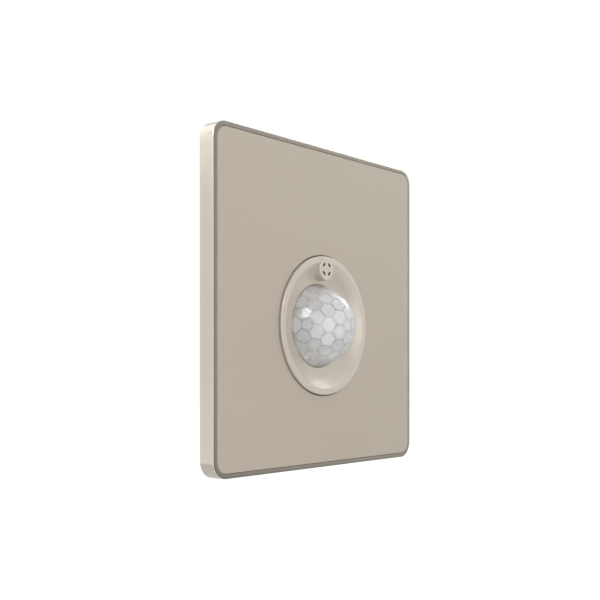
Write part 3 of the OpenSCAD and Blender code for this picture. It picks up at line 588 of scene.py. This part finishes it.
# Tones: cells near one direction get a painted highlight and cells away from another get painted
# shade, ribs fade in both, and the skin gets painted shade towards the right. Rows run from a
# cell's middle to the rib's top.
PAINTED_HIGHLIGHT, PAINTED_HIGHLIGHT_FROM, PAINTED_HIGHLIGHT_SPAN, painted_highlight_way = 0.2, 0.86, 0.08, np.array([-0.46, -0.03, 0.887])
CELL_PAINTED_SHADE, CELL_PAINTED_SHADE_FROM, CELL_PAINTED_SHADE_SPAN, unshaded_way = 0.07, 0.84, 0.26, np.array([-0.75, 0.08, 0.656])
RIB_PAINTED_HIGHLIGHT, RIB_PAINTED_SHADE, CELL_CHANCE, NECK_TONE, SKIN_PAINTED_SHADE = 2.5, 0.75, 0.06, 0.75, 0.35
ROW_TONE, RIB_ROW = np.array([1.0, 1.0, 1.0, 0.95, 1.0, 1.0]), np.array([0, 0, 0, 0, 1, 1])
tilt = math.radians(DRAFT)
lean_sin, lean_cos, lean_tan = math.sin(tilt), math.cos(tilt), math.tan(tilt)
CAP_R = (LENS_R * lean_cos - LENS_RISE * lean_sin) / (1 - lean_sin)
CAP_H = FLOOR_H + LENS_RISE - CAP_R
INNER_R, INNER_CAP, CAP_UP = LENS_R - LENS_T / lean_cos, CAP_R - LENS_T, CAP_H - CELL_H
skin = np.concatenate([
    arc((0, CAP_H), CAP_R, 90, DRAFT, 60),
    [[LENS_R - CONE_STEP * lean_tan, FLOOR_H + CONE_STEP], [LENS_R, FLOOR_H], [LENS_R, SEAT_H],
     [FLANGE_R, SEAT_H], [FLANGE_R, FLANGE_BACK], [INNER_R, FLANGE_BACK]],
])
skin[0, 0] = 0.0


def unit(v):
    """Vectors brought to length 1."""
    return v / np.linalg.norm(v, axis=-1, keepdims=True)


def wall_reach(way):
    """Distance from the cells' centre to the lens's inner wall along unit directions (x, y, up)."""
    rise = way[..., 2]
    up = np.maximum(rise, 0) * CAP_UP
    cap = up + np.sqrt(np.maximum(up**2 + INNER_CAP**2 - CAP_UP**2, 0))
    side = np.sqrt(np.maximum(1 - rise**2, 0))
    foot = INNER_R + (FLOOR_H - CELL_H) * lean_tan
    cone = foot / np.maximum(side + rise * lean_tan, 1e-6)
    return np.where(cap * rise > CAP_UP + INNER_CAP * lean_sin, cap, cone)


def wall_normal(way):
    """Outward normal of the inner wall along unit directions: away from the cap's centre, or the
    cone's own slope."""
    at = way * wall_reach(way)[..., None] - np.array([0, 0, CAP_UP])
    at[..., 2] = np.maximum(at[..., 2], INNER_CAP * lean_sin)
    flat = np.linalg.norm(at[..., :2], axis=-1, keepdims=True)
    outward = at[..., :2] / np.maximum(flat, 1e-9)
    lean = np.concatenate([outward * lean_cos, np.full(flat.shape, lean_sin)], -1)
    return np.where(at[..., 2:] > INNER_CAP * lean_sin + 1e-6, unit(at), lean)


def cell_centres():
    """Directions of the cells: an icosahedron's corners and faces, and the points half-way between
    neighbours."""
    spread, fifth = math.atan(2), np.radians(72 * np.arange(5)) + np.pi
    ring = math.sin(spread) * np.stack([np.cos(fifth), np.sin(fifth)], -1)
    upper = np.concatenate([ring, np.full((5, 1), math.cos(spread))], -1)
    corners = np.concatenate([[[0, 0, 1.0]], upper, -upper, [[0, 0, -1.0]]])
    near = np.isclose(corners @ corners.T, 1 / math.sqrt(5))
    i, j, k = np.nonzero(near[:, :, None] & near[:, None, :] & near[None])
    once = (i < j) & (j < k)
    faces = corners[i[once]] + corners[j[once]] + corners[k[once]]
    knots = np.concatenate([corners, unit(faces)])
    a, b = np.nonzero(np.triu(knots @ knots.T > math.cos(KNOT_STEP), 1))
    return np.concatenate([knots, unit(knots[a] + knots[b])])


def cell_rings(middle, sides, ring, per_side=4):
    """Rings of the cells of one kind, shape (cells, rows, columns, 3): a flat floor, square to the
    wall at the cell's middle, then half the rib's wall and half its top. Corners lie midway between
    three cells."""
    near = ring[np.argsort(-(middle @ ring.T), axis=1)[:, 1:sides + 1]]
    first = unit(near[:, 0] - middle * np.sum(near[:, 0] * middle, -1, keepdims=True))
    second = np.cross(middle, first)
    ahead, aside = (np.einsum("csk,ck->cs", near, axis) for axis in (first, second))
    order = np.argsort(np.arctan2(aside, ahead), axis=1)
    near = np.take_along_axis(near, order[..., None], 1)
    corner = unit(middle[:, None] + near + np.roll(near, -1, 1))[:, :, None]
    t = np.arange(per_side)[None, None, :, None] / per_side
    edge = (corner * (1 - t) + np.roll(corner, -1, 1) * t).reshape(len(middle), -1, 3)
    half = CELL_RIB / 2 / (wall_reach(middle) * math.tan(CELL_HALF))[:, None, None]
    inset = lambda share: unit(edge * (1 - share) + middle[:, None] * share)
    normal = wall_normal(middle)
    level = np.sum(middle * normal, -1) * (wall_reach(middle) + CELL_DEPTH)
    rows = []
    for d in map(inset, (1.0, 0.5, 2.6 * half, half)):
        rows.append(d * (level[:, None] / np.einsum("cek,ck->ce", d, normal))[..., None])
    for d in map(inset, (0.85 * half, 0.0)):
        rows.append(d * wall_reach(d)[..., None])
    return np.stack(rows, 1)


def from_cells(points):
    """Points given from the cells' centre on the dish's axis."""
    return from_dish(points[..., 0], points[..., 1], points[..., 2] + CELL_H)


everywhere = cell_centres()
centres = everywhere[everywhere[:, 2] > math.cos(LOWEST_CELL)]
fives = np.sum(centres @ everywhere.T > math.cos(CELL_STEP), 1) == 6
cell_wall, rim_edges, tones = [], [], []
chance = np.random.default_rng(5)
for kind, sides in ((fives, 5), (~fives, 6)):
    ways = centres[kind]
    rings = cell_rings(ways, sides, everywhere)
    cells, rows, columns = rings.shape[:3]
    shift = np.arange(cells) * rows * columns
    faces = (grid_faces(rows, columns)[None] + shift[:, None, None]).reshape(-1, 4)
    slots = np.tile(np.repeat([1, 1, 1, 2, 2], columns), cells)
    cell_wall.append((from_cells(rings), faces, slots))
    # Painted highlight: cells near one direction keep full tone, the rest are darkened by its
    # amount, and the ribs fade there.
    gain = np.clip((ways @ painted_highlight_way - PAINTED_HIGHLIGHT_FROM) / PAINTED_HIGHLIGHT_SPAN, 0, 1)
    # Painted shade: cells far from a second direction are darkened, and their ribs fade there too.
    veil = np.clip((CELL_PAINTED_SHADE_FROM - ways @ unshaded_way) / CELL_PAINTED_SHADE_SPAN, 0, 1)
    tone = 1 - PAINTED_HIGHLIGHT + PAINTED_HIGHLIGHT * gain + CELL_CHANCE * chance.uniform(-1, 1, cells)
    fade = np.maximum(gain, RIB_PAINTED_SHADE * veil)[:, None]
    tone = (tone - CELL_PAINTED_SHADE * veil)[:, None] * ROW_TONE * (1 + RIB_PAINTED_HIGHLIGHT * fade * RIB_ROW)
    tones.append(np.repeat(tone.ravel(), columns))
    last = rings[:, -1]
    rim_edges.append(np.stack([last, np.roll(last, -1, 1)], 2).reshape(-1, 2, 3))
# The neck: every cell edge that no second cell shares drops straight to the flange's inner edge.
rim_edges = np.concatenate(rim_edges)
key = np.round(rim_edges.mean(1) * 1e4).astype(np.int64)
_, where, count = np.unique(key, axis=0, return_index=True, return_counts=True)
loose = rim_edges[where[count == 1]]
below = loose / np.linalg.norm(loose[..., :2], axis=-1, keepdims=True) * INNER_R
below[..., 2] = FLANGE_BACK - CELL_H
neck = np.stack([loose, below], 1)
neck_faces = np.arange(len(neck) * 4).reshape(-1, 4)[:, [0, 1, 3, 2]]
cell_wall.append((from_cells(neck), neck_faces, 1))
tones.append(np.full(len(neck) * 4, NECK_TONE))
turns = np.sort(np.arctan2(below[..., 1], below[..., 0]).ravel())
turns = turns[np.concatenate([[True], np.diff(turns) > 1e-5])]
skin_grid = revolved(skin, turns)
# Painted shade: the skin's tone darkens towards the right side of the dome.
skin_painted_shade = 1 - SKIN_PAINTED_SHADE * np.maximum(skin[:, :1] * np.cos(turns), 0) / LENS_R


def toned(material):
    """Lets the attribute tone scale a material's base colour."""
    t = material.node_tree
    base = t.nodes["Principled BSDF"].inputs["Base Color"]
    tone, scale = t.nodes.new("ShaderNodeAttribute"), t.nodes.new("ShaderNodeMix")
    tone.attribute_name = "tone"
    scale.data_type, scale.blend_type = "RGBA", "MULTIPLY"
    scale.inputs["Factor"].default_value = 1.0
    t.links.new(base.links[0].from_socket, scale.inputs["A"])
    t.links.new(tone.outputs["Fac"], scale.inputs["B"])
    t.links.new(scale.outputs["Result"], base)
    return material


def milky_edge(material, straight, along):
    """Alpha from Layer Weight: the wall hides more where the eye looks along it."""
    t = material.node_tree
    view = t.nodes.new("ShaderNodeLayerWeight")
    view.inputs["Blend"].default_value = 0.25
    veil = ranged(t, view.outputs["Facing"], (0.0, 1.0), (straight, along))
    t.links.new(veil, t.nodes["Principled BSDF"].inputs["Alpha"])
    return material


def milk(name, colour, shade, rough, **sockets):
    """A greyish white plastic that the tone scales."""
    return toned(surface(name, (colour,) * 3, (shade,) * 3, rough, 4e-7, grain=4000.0, **sockets))


skin_milk = milky_edge(milk("lens_skin", 240, 236, (0.15, 0.19), Specular_IOR_Level=1.0), 0.32, 0.7)
cell_milk = milk("lens_cells", 244, 239, (0.3, 0.4))
rib_milk = milk("lens_ribs", 136, 129, (0.3, 0.4))
lens = piece(
    "dome_lens", [(skin_grid, grid_faces(*skin_grid.shape[:2]), 0)] + cell_wall,
    [skin_milk, cell_milk, rib_milk], "switch_base", 30.0,
    np.concatenate([skin_painted_shade.ravel()] + tones),
)
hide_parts("fresnel_lens")

# Cover backing: the plate behind the panel, injection moulded in black ABS. The panel is bonded to
# it, it rests on the trim frame's ledge, and its four snap tongues grip the mounting frame's edges.
wear("cover_backing", surface("backing_abs", (52, 52, 54), (44, 44, 46), (0.45, 0.58), 3e-6))
ease("cover_backing", 0.12)

# Front panel: a flat polycarbonate sheet sprayed in a matt champagne with a fine pearl, bonded to
# the backing. Its edges are broken by a hair.
PLATE_HALF, PLATE_CORNER, PLATE_DEPTH, PANEL_BACK, CORNER_STEPS = 43.0, 4.5, 4.5, 3.3, 25
LIP_W, LIP_FALL, PANEL_GAP, HOLE_GAP, EDGE = 1.2, 0.2, 0.1, 0.3, 0.12


def rounded_path(half, corner, stations):
    """Stations round a rounded square: centres of curvature and outward normals, so that
    centre + normal * (corner - inset) is the outline moved in. Sides have the given stations."""
    turn = np.radians(np.linspace(0, 90, CORNER_STEPS))
    centres, normals = [], []
    for k, (sx, sy) in enumerate(((1, 1), (-1, 1), (-1, -1), (1, -1))):
        at, to = np.array([sx, sy]) * (half - corner), np.array([-sy, sx]) * (half - corner)
        a = turn + k * np.pi / 2
        round_corner = np.stack([np.cos(a), np.sin(a)], -1)
        centres += [np.repeat(at[None], CORNER_STEPS, 0), at + (to - at) * stations[:, None]]
        normals += [round_corner, np.repeat(round_corner[-1:], len(stations), 0)]
    return np.concatenate(centres), np.concatenate(normals)


inset = LIP_W + PANEL_GAP
path, out = rounded_path(PLATE_HALF - inset, PLATE_CORNER - inset, np.linspace(0, 1, 72)[1:-1])
outline = path + out * (PLATE_CORNER - inset)
spoke = unit(outline + [0, DISH_DROP])
soft = 0.3 * EDGE
edge_rows = [
    (0, PANEL_BACK), (0, PLATE_DEPTH - EDGE), (soft, PLATE_DEPTH - soft), (EDGE, PLATE_DEPTH),
    (2 * EDGE, PLATE_DEPTH),
]
rings = []
for at_hole, rows in ((1, edge_rows), (0.5, [(0, PLATE_DEPTH)]), (0, edge_rows[::-1])):
    for off, h in rows:
        hole = spoke * (DISH_R + HOLE_GAP + off) - [0, DISH_DROP]
        edge = outline - out * off
        rings.append(bench(*(hole * at_hole + edge * (1 - at_hole)).T, h))
panel_grid = np.stack(rings)
panel_paint = surface(
    "panel_champagne", (182, 172, 158), (179, 169, 155), (0.5, 0.6), 1.5e-6,
    grain=5200.0, cloud=25.0, speck=5200.0, fleck=(190, 180, 166),
)
panel_faces = grid_faces(*panel_grid.shape[:2], close_rows=True)
panel = piece("champagne_panel", [(panel_grid, panel_faces, 0)], [panel_paint], "cover")
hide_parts("front_panel")

# Trim frame: die-cast and satin-plated metal, one ring round the panel. Its lip slopes back to a
# small round edge, a ledge inside carries the backing, and a pry notch is cut in the lower edge.
ROUND, LIP_EDGE, SIDE_FOOT = 0.15, 0.1, 1.2
BACKING_BACK, LEDGE_W, LEDGE_T = 2.4, 1.2, 0.9
PRY_W, PRY_H, NOTCH_WALL = 10.0, 1.0, 0.02
slope = math.atan(LIP_FALL / LIP_W)
side_top = PLATE_DEPTH - LIP_FALL - ROUND * math.tan((math.pi / 2 - slope) / 2)
lip_round = arc((ROUND, side_top), ROUND, 180, 90 + math.degrees(slope), 9)
ledge_in, ledge_back = LIP_W + LEDGE_W, BACKING_BACK - LEDGE_T
wall = np.concatenate([
    [[0, 0], [0, SIDE_FOOT]], lip_round,
    [[LIP_W - LIP_EDGE, PLATE_DEPTH - LIP_EDGE * LIP_FALL],
     [LIP_W - 0.3 * LIP_EDGE, PLATE_DEPTH - 0.35 * LIP_EDGE], [LIP_W, PLATE_DEPTH - LIP_EDGE],
     [LIP_W, BACKING_BACK], [ledge_in, BACKING_BACK], [ledge_in, ledge_back],
     [LIP_W, ledge_back], [LIP_W, 0]],
])
straight, notch = PLATE_HALF - PLATE_CORNER, PRY_W / 2
marks = np.concatenate([
    np.linspace(-straight, -notch - NOTCH_WALL, 34)[1:], [-notch],
    np.linspace(-notch + 1, notch - 1, 9),
])
marks = np.unique(np.round(np.concatenate([marks, -marks]), 4))
path, out = rounded_path(PLATE_HALF, PLATE_CORNER, (marks + straight) / (2 * straight))
in_notch = (out[:, 1] < -0.999) & (np.abs(path[:, 0]) < notch + NOTCH_WALL / 2)
spots = path[None] + out[None] * (PLATE_CORNER - wall[:, 0])[:, None, None]
levels = np.repeat(wall[:, 1:], len(path), 1)
levels[[0, -1]] = np.where(in_notch, PRY_H, 0.0)
trim_grid = bench(spots[..., 0], spots[..., 1], levels)
trim_metal = surface(
    "trim_champagne_metal", (201, 193, 182), (197, 189, 177), (0.17, 0.23), 8e-7,
    grain=6000.0, Metallic=1.0,
)
trim_faces = grid_faces(*trim_grid.shape[:2], close_rows=True)
trim = piece("lipped_trim", [(trim_grid, trim_faces, 0)], [trim_metal], "cover", 30.0)
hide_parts("trim_frame")

# Stage: a pale floor well below the switch, a bent grey card round its front and right and a dim
# card low behind it that only reflections show, soft boxes, and the camera at the photograph's
# place.
FLOOR_Z, FLOOR_REACH, FLOOR_GREY, FLOOR_GLOW = -0.45, 8.0, 0.8, 0.78
CARD_R, CARD_TOP, CARD_BEND = 0.42, 0.5, 120
CARD_GLOW = (("X", (0.13, 0.41), (0.32, 0.6)), ("Z", (-0.2, -0.05), (0.66, 1.0)))
LOW_SIDE, LOW_NEAR, LOW_FAR, LOW_RISE, LOW_GLOW = 1.0, 0.05, 1.2, 0.01, 0.84
SKY, WHITE = 0.45, 1.0


def stage_mesh(name, points, faces, material):
    """A piece of the stage, in metres."""
    mesh = bpy.data.meshes.new(name)
    mesh.from_pydata(points, [], faces)
    mesh.materials.append(material)
    o = bpy.data.objects.new(name, mesh)
    bpy.context.scene.collection.objects.link(o)
    return o


def seen_rays(tree):
    """Light Path's camera, glossy and transmission rays together, as one value."""
    rays = tree.nodes.new("ShaderNodeLightPath")
    seen = rays.outputs["Is Camera Ray"]
    for label in ("Is Glossy Ray", "Is Transmission Ray"):
        seen = math_node(tree, "MAXIMUM", seen, rays.outputs[label])
    return seen


def stage_paint(name, grey):
    """A dull grey material, its node tree and its emission's strength, which glows white once that
    is set."""
    m = bpy.data.materials.new(name)
    m.use_nodes = True
    shader = m.node_tree.nodes["Principled BSDF"]
    shader.inputs["Base Color"].default_value = (grey, grey, grey, 1)
    shader.inputs["Roughness"].default_value = 1.0
    shader.inputs["Specular IOR Level"].default_value = 0.0
    shader.inputs["Emission Color"].default_value = (1, 1, 1, 1)
    return m, m.node_tree, shader.inputs["Emission Strength"]


pale, t, glow_in = stage_paint("pale_floor", FLOOR_GREY)
t.links.new(math_node(t, "MULTIPLY", seen_rays(t), FLOOR_GLOW), glow_in)
reach = np.array([[-1, -1], [1, -1], [1, 1], [-1, 1]]) * FLOOR_REACH
stage_mesh("floor", [(x, y, FLOOR_Z) for x, y in reach], [(0, 1, 2, 3)], pale)

grey, t, glow_in = stage_paint("grey_card", 0.0)
spot, split = t.nodes.new("ShaderNodeTexCoord"), t.nodes.new("ShaderNodeSeparateXYZ")
t.links.new(spot.outputs["Object"], split.inputs[0])
ramps = [ranged(t, split.outputs[axis], span, onto) for axis, span, onto in CARD_GLOW]
t.links.new(math_node(t, "MULTIPLY", *ramps), glow_in)
bend, levels = np.radians(np.linspace(0, CARD_BEND, 37)), np.array([[FLOOR_Z], [CARD_TOP]])
points = bench(CARD_R * np.sin(bend), levels, CARD_R * np.cos(bend)).reshape(-1, 3) / MM
faces = grid_faces(2, len(bend), close_columns=False)
card = stage_mesh("grey_card", points.tolist(), faces.tolist(), grey)

dim, _, glow_in = stage_paint("dim_card", 0.0)
glow_in.default_value = LOW_GLOW
low_ends = ((-LOW_SIDE, LOW_NEAR), (LOW_SIDE, LOW_NEAR), (LOW_SIDE, LOW_FAR), (-LOW_SIDE, LOW_FAR))
low_edge = [(x, y, FLOOR_Z + LOW_RISE) for x, y in low_ends]
low_card = stage_mesh("low_card", low_edge, [(0, 1, 2, 3)], dim)
for o in (card, low_card):
    o.visible_camera = o.visible_diffuse = o.visible_shadow = False

world = bpy.data.worlds.new("studio")
bpy.context.scene.world = world
world.use_nodes = True
t = world.node_tree
t.nodes.clear()
both, end = t.nodes.new("ShaderNodeMixShader"), t.nodes.new("ShaderNodeOutputWorld")
for socket, strength in ((both.inputs[1], SKY), (both.inputs[2], WHITE)):
    light = t.nodes.new("ShaderNodeBackground")
    light.inputs["Color"].default_value = (1, 1, 1, 1)
    light.inputs["Strength"].default_value = strength
    t.links.new(light.outputs[0], socket)
t.links.new(seen_rays(t), both.inputs["Fac"])
t.links.new(both.outputs[0], end.inputs["Surface"])


def soft_box(name, azimuth, elevation, distance, size, strength, roll=0.0):
    """A rectangular lamp that faces the dish from a direction: azimuth 0 is straight in front, 90
    to the right. Roll turns it about its own axis."""
    a, e = math.radians(azimuth), math.radians(elevation)
    way = Vector((math.sin(a) * math.cos(e), -math.cos(a) * math.cos(e), math.sin(e)))
    spin = Quaternion((0, 0, 1), math.radians(roll))
    lamp = bpy.data.lights.new(name, "AREA")
    lamp.shape, lamp.size, lamp.size_y = "RECTANGLE", *size
    lamp.energy = strength * size[0] * size[1] * math.pi
    o = bpy.data.objects.new(name, lamp)
    o.location = way * distance
    o.rotation_euler = (way.to_track_quat("Z", "Y") @ spin).to_euler()
    bpy.context.scene.collection.objects.link(o)
    return o


soft_box("right_key", 64, 3, 3.0, (0.9, 2.0), 6.2).visible_glossy = False
soft_box("front_box", -22, 3, 0.5, (0.55, 0.44), 1.45)
soft_box("top_box", 55, 62, 0.8, (0.5, 0.5), 2.0).visible_glossy = False
soft_box("left_spark", -91, 35, 0.6, (0.3, 0.28), 12.0).visible_diffuse = False
soft_box("right_spark", 85, 31, 0.45, (0.4, 0.17), 4.6, 43).visible_diffuse = False
soft_box("back_box", -134, 22, 0.8, (0.4, 0.24), 0.5)
soft_box("rear_fill", 180, 20, 0.35, (0.3, 0.3), 3.0).visible_glossy = False
soft_box("corner_box", -162, 41, 0.6, (0.45, 0.35), 0.75).visible_diffuse = False

# The camera as fitted: focal length and horizon in the photograph's pixels, its turn in degrees,
# and its place in metres.
PHOTO, FOCAL, HORIZON, SENSOR = 600, 1001.1, 366.9, 36.0
TURNED, BACK, ASIDE, LOWER = math.radians(51.29), 0.2727, 0.00298, 0.01604
ahead = Vector((math.sin(TURNED), math.cos(TURNED), 0))
across = Vector((math.cos(TURNED), -math.sin(TURNED), 0))
view = bpy.data.cameras.new("camera")
view.sensor_width, view.lens = SENSOR, SENSOR * FOCAL / PHOTO
view.shift_y = (HORIZON - PHOTO / 2) / PHOTO
view.clip_start = 0.01
camera = bpy.data.objects.new("camera", view)
camera.location = -ahead * BACK - across * ASIDE - Vector((0, 0, LOWER))
camera.rotation_euler = (-ahead).to_track_quat("Z", "Y").to_euler()
bpy.context.scene.collection.objects.link(camera)
bpy.context.scene.camera = camera
bpy.context.scene.view_settings.view_transform = "Standard"
